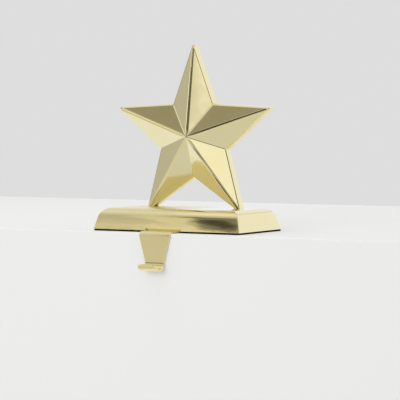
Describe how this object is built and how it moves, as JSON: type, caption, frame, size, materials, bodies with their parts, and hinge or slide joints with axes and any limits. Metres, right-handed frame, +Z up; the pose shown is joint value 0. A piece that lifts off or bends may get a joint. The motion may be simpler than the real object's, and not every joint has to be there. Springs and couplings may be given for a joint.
{
  "type": "mantel stocking holder",
  "caption": "Five-pointed facetted star standing on a heavy sloped base, with a bent J hook strip that hangs a stocking in front of a mantel shelf.",
  "frame": {"origin": "middle of the pad's underside, the face that rests on the shelf", "axes": "+Z up out of the shelf, +X along the shelf to the right, -Y out over the shelf's front edge"},
  "size_m": [0.146, 0.0953, 0.1844],
  "materials": {
    "polished_casting": "polished, gold plated casting",
    "polished_strip": "polished, gold plated strip",
    "foam_pad": "matt black foam sheet",
    "screw_steel": "zinc plated"
  },
  "bodies": {
    "root": {"star": "polished_casting", "base": "polished_casting", "hook": "polished_strip", "underside_pad": "foam_pad", "star_screws": "screw_steel", "hook_screws": "screw_steel"}
  },
  "joints": []
}
